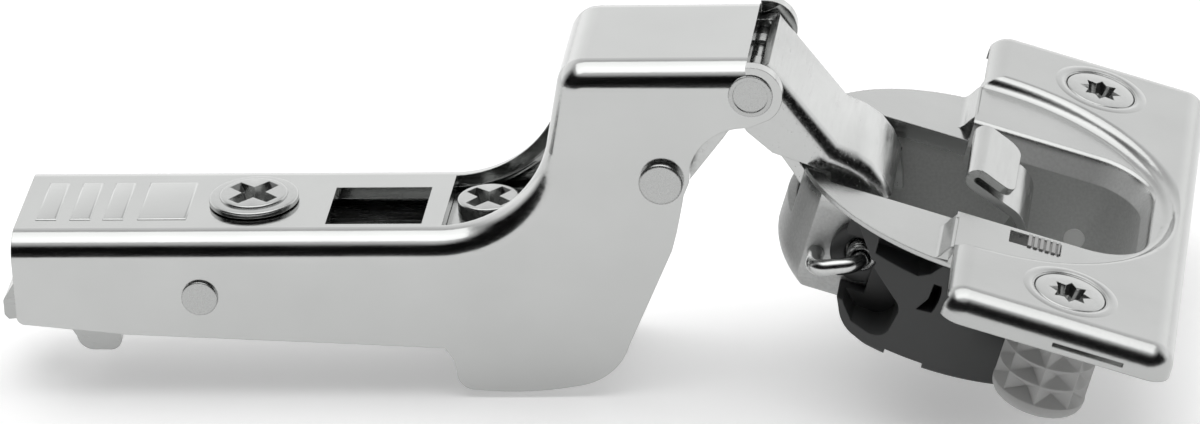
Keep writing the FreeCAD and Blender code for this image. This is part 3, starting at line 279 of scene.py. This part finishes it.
# Closing spring: close coil of spring wire round the short leg. Heat has turned it dull.
SPRING_WIRE = 0.28
SPRING_TURNS = 4
COIL_PITCH = 0.5
COIL_STEPS = 24
bm = bmesh.new()
ring = bmesh.ops.create_circle(bm, segments=10, radius=SPRING_WIRE)["verts"]
coil_start = SHORT_LEG + Vector((WIRE_RADIUS + SPRING_WIRE + 0.08, -9.95, 0.0))
bmesh.ops.translate(bm, verts=ring, vec=coil_start)
bmesh.ops.spin(bm, geom=bm.verts[:] + bm.edges[:], cent=SHORT_LEG, axis=(0, 1, 0), dvec=(0, -COIL_PITCH / COIL_STEPS, 0),
               angle=math.radians(360 * SPRING_TURNS), steps=COIL_STEPS * SPRING_TURNS)
bmesh.ops.remove_doubles(bm, verts=bm.verts, dist=0.0001)
bmesh.ops.holes_fill(bm, edges=bm.edges, sides=0)
spring_steel = satin_zinc("tempered_spring_wire", "#A4A5A4", "#8E8F8E", 0.26, 0.2, 1.5)
make_piece(bm, "short_leg_coil", CUP, spring_steel, "cup", "bare_steel", "closing_spring")


# Outer link: one strip folded to a channel. The press leaves a full round along both
# folds, each fold ends in a relief cut, and the plate curls down at its lower end.
LINK_HALF_WIDTH = 6.8
LINK_SHEET = 1.1
LINK_FOLD = 1.6
PLATE_PATH = ((73.66, 33.76), (79.7, 25.25), (81.45, 24.45), (82.9, 23.3), (83.95, 21.75), (84.6, 20.0))
FLANGE_PATH = ((82.85, 19.7), (82.85, 19.4), (84.52, 19.2), (84.52, 15.35), (83.57, 15.35), (83.57, 19.0),
               (80.07, 19.0), (80.07, 15.35), (79.9, 15.35), (79.02, 16.45), (79.02, 22.9), (77.6, 23.45),
               (73.6, 25.0), (71.2, 27.3), (70.4, 31.2), (70.4, 33.2), (72.0, 33.2))
LINK_ROUNDS = ((83.57, 19.0), (80.07, 19.0), (70.4, 33.2))
LINK_EYE = (72.0, 31.6)


def stands_on(vert, places):
    return any(abs(vert.co.x - x) < 0.01 and abs(vert.co.z - z) < 0.01 for x, z in places)


bm = bmesh.new()
bm.faces.new([bm.verts.new((x, -LINK_HALF_WIDTH, z)) for x, z in PLATE_PATH + FLANGE_PATH])
corners = [v for v in bm.verts if stands_on(v, LINK_ROUNDS)]
bmesh.ops.bevel(bm, geom=corners, offset=1.55, segments=8, profile=0.5, affect="VERTICES", material=-1)
bmesh.ops.delete(bm, geom=bm.faces[:], context="FACES_ONLY")
eye = bmesh.ops.create_circle(bm, segments=32, radius=0.9)["verts"]
bmesh.ops.rotate(bm, verts=eye, cent=(0, 0, 0), matrix=Matrix.Rotation(math.radians(90), 3, "X"))
bmesh.ops.translate(bm, verts=eye, vec=(LINK_EYE[0], -LINK_HALF_WIDTH, LINK_EYE[1]))
bmesh.ops.triangle_fill(bm, edges=bm.edges[:], use_beauty=True)
bmesh.ops.dissolve_limit(bm, angle_limit=0.01, edges=bm.edges[:], verts=[])
plate = [e for e in bm.edges if all(stands_on(v, PLATE_PATH) for v in e.verts)]
copied = bmesh.ops.duplicate(bm, geom=bm.verts[:] + bm.edges[:] + bm.faces[:])["geom"]
bmesh.ops.translate(bm, verts=[g for g in copied if isinstance(g, bmesh.types.BMVert)], vec=(0, 2 * LINK_HALF_WIDTH, 0))
run_on(bm, plate, (0, 2 * LINK_HALF_WIDTH, 0))
bmesh.ops.remove_doubles(bm, verts=bm.verts, dist=0.001)
bmesh.ops.recalc_face_normals(bm, faces=bm.faces)
folds = [e for e in bm.edges if len(e.link_faces) == 2 and e.calc_face_angle() > 1.2]
bmesh.ops.bevel(bm, geom=folds, offset=LINK_FOLD, segments=6, profile=0.5, affect="EDGES", material=-1)
bmesh.ops.solidify(bm, geom=bm.faces[:], thickness=LINK_SHEET)
make_piece(bm, "folded_link", Matrix.Scale(MM, 4), link_nickel, "outer", "nickel_plate", "outer_link")


# Damper housing: dark grey acetal, injection moulded in a spark-eroded tool, which
# gives the walls a fine even grain.
def moulded(name, light, dark, roughness, grain_mm, grain_um):
    material, tree, place = new_material(name)
    spark = add(tree, "ShaderNodeTexNoise", {"Vector": place, "Scale": 1000 / grain_mm, "Detail": 2.0})
    flow = add(tree, "ShaderNodeTexNoise", {"Vector": place, "Scale": 250.0, "Detail": 3.0})
    tone = add(tree, "ShaderNodeMix", {0: flow.outputs[0], 6: srgb(dark), 7: srgb(light)}, data_type="RGBA")
    rough = add(tree, "ShaderNodeMapRange", {
        "Value": flow.outputs[0], "To Min": roughness * 0.8, "To Max": roughness * 1.2})
    edge = add(tree, "ShaderNodeBevel", {"Radius": 0.00018}, samples=4)
    bump = add(tree, "ShaderNodeBump", {
        "Height": spark.outputs[0], "Normal": edge.outputs[0], "Distance": grain_um * 1e-6})
    shader = add(tree, "ShaderNodeBsdfPrincipled", {
        "Base Color": tone.outputs[2], "Roughness": rough.outputs[0], "Normal": bump.outputs[0]})
    finish_material(tree, shader)
    return material


acetal = moulded("dark_acetal", "#454646", "#393A3A", 0.42, 0.18, 4.0)
dress(acetal, "damper_housing")

# Eye of the housing: a ring moulded round the short leg and its coil.
bm = bmesh.new()
bmesh.ops.create_circle(bm, segments=48, radius=3.05)
inner = bmesh.ops.create_circle(bm, segments=48, radius=1.62)
bmesh.ops.bridge_loops(bm, edges=bm.edges[:])
slab = bmesh.ops.extrude_face_region(bm, geom=bm.faces[:])["geom"]
bmesh.ops.translate(bm, verts=[g for g in slab if isinstance(g, bmesh.types.BMVert)], vec=(0, 0, 1.1))
sharp = [e for e in bm.edges if len(e.link_faces) == 2 and e.calc_face_angle() > 1.0]
bmesh.ops.bevel(bm, geom=sharp, offset=0.18, segments=3, profile=0.5, affect="EDGES", material=-1)
bmesh.ops.rotate(bm, verts=bm.verts, cent=(0, 0, 0), matrix=Matrix.Rotation(math.radians(90), 3, "X"))
bmesh.ops.translate(bm, verts=bm.verts, vec=SHORT_LEG + Vector((0, -9.66, 0)))
make_piece(bm, "housing_eye", CUP, acetal, "cup", "dark_plastic")


# Rocker: bent strip, plated, polished on the tongue by the link that runs on it.
rocker_nickel = plated_sheet("polished_nickel_rocker", "#B6B7B6", "#AAABAA", 0.2, (1.0, 0.1, 1.0), 0.4, 0.2, 0.3, 1.0)
ROCKER_LINE = ((2.6, 2.7), (-1.05, 4.15), (-1.25, 3.5), (4.7, 1.3), (5.4, -1.2), (3.2, -8.5))
ROCKER_BENDS = (0.0, 0.5, 0.5, 1.4, 1.0, 0.0)
ROCKER_HALF_WIDTH = 5.0
ROCKER_SHEET = 0.8
bm = bmesh.new()
ends = [bm.verts.new((u, -ROCKER_HALF_WIDTH, n)) for u, n in ROCKER_LINE]
for first, second in zip(ends, ends[1:]):
    bm.edges.new((first, second))
grown = bmesh.ops.extrude_edge_only(bm, edges=bm.edges[:])["geom"]
bmesh.ops.translate(bm, verts=[g for g in grown if isinstance(g, bmesh.types.BMVert)],
                    vec=(0, 2 * ROCKER_HALF_WIDTH, 0))
for (u, n), radius in zip(ROCKER_LINE, ROCKER_BENDS):
    folds = [e for e in bm.edges if all(abs(v.co.x - u) < 0.01 and abs(v.co.z - n) < 0.01 for v in e.verts)]
    if radius:
        bmesh.ops.bevel(bm, geom=folds, offset=radius, segments=5, profile=0.5, affect="EDGES", material=-1)
tongue_tip = [v for v in bm.verts if abs(v.co.x - ROCKER_LINE[0][0]) < 0.01 and abs(v.co.z - ROCKER_LINE[0][1]) < 0.01]
bmesh.ops.bevel(bm, geom=tongue_tip, offset=1.5, segments=6, profile=0.5, affect="VERTICES", material=-1)
bmesh.ops.recalc_face_normals(bm, faces=bm.faces)
bmesh.ops.solidify(bm, geom=bm.faces[:], thickness=ROCKER_SHEET)
rocker = make_piece(bm, "damper_lever", CUP, rocker_nickel, "rocker", "nickel_plate", "damper_rocker")


# Switch slider: grey nylon. The peg in the far wall of the bowl is the same, undyed.
switch_nylon = moulded("grey_switch_nylon", "#A6A6A5", "#969695", 0.4, 0.2, 3.0)
dress(switch_nylon, "switch_slider")
peg_nylon = moulded("white_peg_nylon", "#F4F4F3", "#ECECEB", 0.4, 0.3, 2.0)
dress(peg_nylon, "cup_rivet")


# Dowels: nylon, moulded round a net of raised ridges that grips the door. Between the
# ridges each cell sinks to a point, and the tip is rounded.
dowel_nylon = moulded("dowel_nylon", "#C8C8C7", "#BEBEBD", 0.5, 0.25, 4.0)
DOWEL_U = 9.5
DOWEL_Y = 22.5
DOWEL_RADIUS = 4.45
DOWEL_CELLS = 8
CELL_SIDES = 4
DOWEL_ROWS = 3
ROW_PITCH = 2.0
NET_END = -6.35
PIT_DEPTH = 1.15
TIP_END = -7.85
DOWEL_TOP = 2.5

for side, word in ((-1, "near"), (1, "far")):
    bm = bmesh.new()
    net = DOWEL_ROWS * ROW_PITCH
    bmesh.ops.create_cone(bm, cap_ends=False, segments=DOWEL_CELLS * CELL_SIDES, radius1=DOWEL_RADIUS,
                          radius2=DOWEL_RADIUS, depth=net)
    bmesh.ops.translate(bm, verts=bm.verts, vec=(0, 0, NET_END + net / 2))
    bmesh.ops.subdivide_edges(bm, edges=[e for e in bm.edges if not e.is_boundary], cuts=DOWEL_ROWS - 1, use_grid_fill=True)
    between = [e for e in bm.edges if abs(e.verts[0].co.z - e.verts[1].co.z) > 0.1
               and abs(math.sin(DOWEL_CELLS / 2 * math.atan2(e.verts[0].co.y, e.verts[0].co.x))) > 0.1]
    bmesh.ops.dissolve_edges(bm, edges=between, use_verts=False)
    ridges = bm.edges[:]
    bmesh.ops.poke(bm, faces=bm.faces[:], offset=-PIT_DEPTH, center_mode="MEAN")
    bmesh.ops.bevel(bm, geom=[e for e in ridges if not e.is_boundary], offset=0.16, segments=2, profile=0.5,
                    affect="EDGES", material=-1)
    rims = [e for e in bm.edges if e.is_boundary]
    low_rim = [e for e in rims if e.verts[0].co.z < NET_END + 0.1]
    high_rim = [e for e in rims if e.verts[0].co.z > NET_END + 0.1]
    foot = run_on(bm, low_rim, (0, 0, TIP_END - NET_END))
    neck = run_on(bm, high_rim, (0, 0, DOWEL_TOP - NET_END - net))
    bmesh.ops.holes_fill(bm, edges=foot + neck, sides=0)
    bmesh.ops.bevel(bm, geom=foot, offset=1.3, segments=6, profile=0.5, affect="EDGES", material=-1)
    bmesh.ops.rotate(bm, verts=bm.verts, cent=(0, 0, 0), matrix=Matrix.Rotation(math.radians(-3), 3, "Z"))
    place = CUP @ Matrix.Translation((DOWEL_U, side * DOWEL_Y, 0.0))
    make_piece(bm, "netted_dowel_" + word, place, dowel_nylon, "cup", "grey_plastic", "dowel_" + word)


# Dowel screws: cold-headed steel with a star recess. Round each head the punch has left
# the sheet of the wing as a soft ring.
WING_TOP = 3.8
HEAD_RADIUS = 3.4
STAR_RADIUS = 2.05
RING_PROFILE = ((4.9, -0.1), (4.5, 0.03), (4.1, 0.1), (3.85, 0.06), (3.47, -0.12), (3.47, -0.6), (4.9, -0.6))
for side, word in ((-1, "near"), (1, "far")):
    place = CUP @ Matrix.Translation((DOWEL_U, side * DOWEL_Y, WING_TOP))
    bm = bmesh.new()
    star = bmesh.ops.create_circle(bm, segments=16, radius=STAR_RADIUS)["verts"]
    notches = [v for v in star if abs(math.cos(4 * math.atan2(v.co.y, v.co.x))) < 0.5]
    bmesh.ops.scale(bm, verts=notches, vec=(0.66, 0.66, 1.0))
    recess = bm.edges[:]
    bmesh.ops.create_circle(bm, segments=48, radius=HEAD_RADIUS)
    outside = [e for e in bm.edges if e not in recess]
    bmesh.ops.triangle_fill(bm, edges=bm.edges[:], use_beauty=True)
    floor = run_on(bm, recess, (0, 0, -1.1))
    floor_verts = list({v for e in floor for v in e.verts})
    bmesh.ops.scale(bm, verts=floor_verts, vec=(0.7, 0.7, 1.0))
    under = run_on(bm, outside, (0, 0, -1.2))
    bmesh.ops.holes_fill(bm, edges=floor + under, sides=0)
    bmesh.ops.bevel(bm, geom=outside, offset=0.18, segments=3, profile=0.5, affect="EDGES", material=-1)
    bmesh.ops.translate(bm, verts=bm.verts, vec=(0, 0, -0.05))
    make_piece(bm, "star_screw_" + word, place, screw_nickel, word + "_screw", "nickel_plate", "dowel_screw_" + word)
    bm = bmesh.new()
    ring = [bm.verts.new((r, 0.0, n)) for r, n in RING_PROFILE]
    for first, second in zip(ring, ring[1:] + ring[:1]):
        bm.edges.new((first, second))
    bmesh.ops.spin(bm, geom=bm.verts[:] + bm.edges[:], cent=(0, 0, 0), axis=(0, 0, 1), angle=math.radians(360), steps=64)
    bmesh.ops.remove_doubles(bm, verts=bm.verts, dist=0.001)
    make_piece(bm, "punched_ring_" + word, place, cup_nickel, "cup", "nickel_plate")


# Screws of the arm: cold-headed steel with a cross recess that narrows downwards. The
# depth screw has a flat flange on the arm, the side screw a wide collar under it.
def widen(bm, loop, factor):
    bmesh.ops.scale(bm, verts=list({v for e in loop for v in e.verts}), vec=(factor, factor, 1.0))


def cross_screw(name, x, heights, radii, body, node):
    top, collar_top, collar_base, end = heights
    dome, collar, shank = radii
    bm = bmesh.new()
    cross = bmesh.ops.create_circle(bm, segments=12, radius=0.83 * dome)["verts"]
    corners = [v for v in cross if abs(math.sin(2 * math.atan2(v.co.y, v.co.x))) < 0.1]
    bmesh.ops.scale(bm, verts=corners, vec=(0.42, 0.42, 1.0))
    recess = bm.edges[:]
    bmesh.ops.create_circle(bm, segments=64, radius=dome)
    outside = [e for e in bm.edges if e not in recess]
    bmesh.ops.triangle_fill(bm, edges=bm.edges[:], use_beauty=True)
    floor = run_on(bm, recess, (0, 0, -1.5))
    widen(bm, floor, 0.6)
    seat = run_on(bm, outside, (0, 0, collar_top - top))
    rim = run_on(bm, seat, (0, 0, 0))
    widen(bm, rim, collar / dome)
    under = run_on(bm, rim, (0, 0, collar_base - collar_top))
    neck = run_on(bm, under, (0, 0, 0))
    widen(bm, neck, shank / collar)
    foot = run_on(bm, neck, (0, 0, end - collar_base))
    bmesh.ops.holes_fill(bm, edges=floor + foot, sides=0)
    bmesh.ops.bevel(bm, geom=outside + rim, offset=0.22, segments=4, profile=0.5, affect="EDGES", material=-1)
    bmesh.ops.rotate(bm, verts=bm.verts, cent=(0, 0, 0), matrix=Matrix.Rotation(math.radians(5), 3, "Z"))
    bmesh.ops.translate(bm, verts=bm.verts, vec=(x, 0, top))
    make_piece(bm, name, Matrix.Scale(MM, 4), screw_nickel, body, "nickel_plate", node)


cross_screw("depth_screw", 22.5, (17.95, 17.7, 17.15, 11.9), (3.3, 4.33, 2.15), "cam_screw", "depth_cam_screw")
cross_screw("side_screw", 45.25, (17.4, 15.7, 15.1, 11.8), (3.0, 5.85, 2.0), "side_screw", "side_adjust_screw")


# Table: a white sheet under the hinge, plain and matt.
bm = bmesh.new()
bmesh.ops.create_grid(bm, x_segments=1, y_segments=1, size=3.0)
sheet_mesh = bpy.data.meshes.new("table_sheet")
bm.to_mesh(sheet_mesh)
bm.free()
table_sheet = bpy.data.objects.new("table_sheet", sheet_mesh)
bpy.context.scene.collection.objects.link(table_sheet)
material, tree, place = new_material("white_sheet")
paper = add(tree, "ShaderNodeBsdfPrincipled", {"Base Color": srgb("#F2F2F2"), "Roughness": 0.95})
ray = add(tree, "ShaderNodeLightPath")
seen = add(tree, "ShaderNodeMath", {0: ray.outputs["Is Camera Ray"], 1: ray.outputs["Is Glossy Ray"]},
           operation="MAXIMUM")
shown = add(tree, "ShaderNodeMath", {0: seen.outputs[0], 1: ray.outputs["Is Transmission Ray"]},
            operation="MAXIMUM")
lift = add(tree, "ShaderNodeMath", {0: shown.outputs[0], 1: 0.33}, operation="MULTIPLY")
paper.inputs["Emission Color"].default_value = srgb("#FFFFFF")
tree.links.new(lift.outputs[0], paper.inputs["Emission Strength"])
finish_material(tree, paper)
sheet_mesh.materials.append(material)


# Light: one large soft box overhead in a pale room with a dark front wall, which draws
# the dark line along every rounded edge that faces it.
def soft_box(name, place, towards, size, power):
    lamp = bpy.data.lights.new(name, "AREA")
    lamp.shape = "RECTANGLE"
    lamp.size, lamp.size_y = size
    lamp.energy = power
    holder = bpy.data.objects.new(name, lamp)
    holder.location = place
    holder.rotation_euler = (Vector(towards) - Vector(place)).to_track_quat("-Z", "Y").to_euler()
    bpy.context.scene.collection.objects.link(holder)
    return holder


soft_box("soft_box_over", (0.05, 0.08, 1.1), (0.05, 0.0, 0.0), (1.3, 1.15), 5.5)

world = bpy.data.worlds.new("studio")
bpy.context.scene.world = world
world.use_nodes = True
tree = world.node_tree
tree.nodes.clear()
direction = add(tree, "ShaderNodeTexCoord").outputs["Generated"]
parts = add(tree, "ShaderNodeSeparateXYZ", {"Vector": direction})
front = add(tree, "ShaderNodeValToRGB", {"Fac": parts.outputs["Z"]})
ramp = front.color_ramp
ramp.elements[0].position = 0.0
ramp.elements[0].color = srgb("#505050")
ramp.elements[1].position = 1.0
ramp.elements[1].color = srgb("#FFFFFF")
for position, colour in ((0.15, "#282828"), (0.32, "#121212"), (0.7, "#101010"), (0.84, "#E8E8E8")):
    stop = ramp.elements.new(position)
    stop.color = srgb(colour)
behind = add(tree, "ShaderNodeValToRGB", {"Fac": parts.outputs["Z"]})
ramp = behind.color_ramp
ramp.elements[0].position = 0.0
ramp.elements[0].color = (1.3, 1.3, 1.3, 1.0)
ramp.elements[1].position = 1.0
ramp.elements[1].color = (0.6, 0.6, 0.6, 1.0)
for position, level in ((0.16, 1.4), (0.4, 1.2), (0.52, 1.15), (0.75, 0.7)):
    stop = ramp.elements.new(position)
    stop.color = (level, level, level, 1.0)
rear = add(tree, "ShaderNodeMapRange", {"Value": parts.outputs["Y"], "From Min": -0.1, "From Max": 0.35})
room = add(tree, "ShaderNodeMix", {0: rear.outputs[0], 6: front.outputs[0], 7: behind.outputs[0]}, data_type="RGBA")
glow = add(tree, "ShaderNodeBackground", {"Color": room.outputs[2], "Strength": 1.0})
output = tree.nodes.new("ShaderNodeOutputWorld")
tree.links.new(glow.outputs[0], output.inputs["Surface"])
bpy.context.scene.view_settings.view_transform = "Standard"

# Camera: a long lens, low over the near side, with the far end a little down.
camera_data = bpy.data.cameras.new("camera")
camera_data.lens = 266.4
camera_data.sensor_width = 36.0
camera_data.clip_end = 10.0
camera = bpy.data.objects.new("camera", camera_data)
right = Vector((0.99185775, 0.113095, -0.05854677))
up = Vector((0.00449208, 0.42837286, 0.9035909))
back = right.cross(up)
turn = Matrix((right, up, back)).transposed()
camera.matrix_world = Matrix.Translation((0.16396805, -0.76127433, 0.37604754)) @ turn.to_4x4()
bpy.context.scene.collection.objects.link(camera)
bpy.context.scene.camera = camera
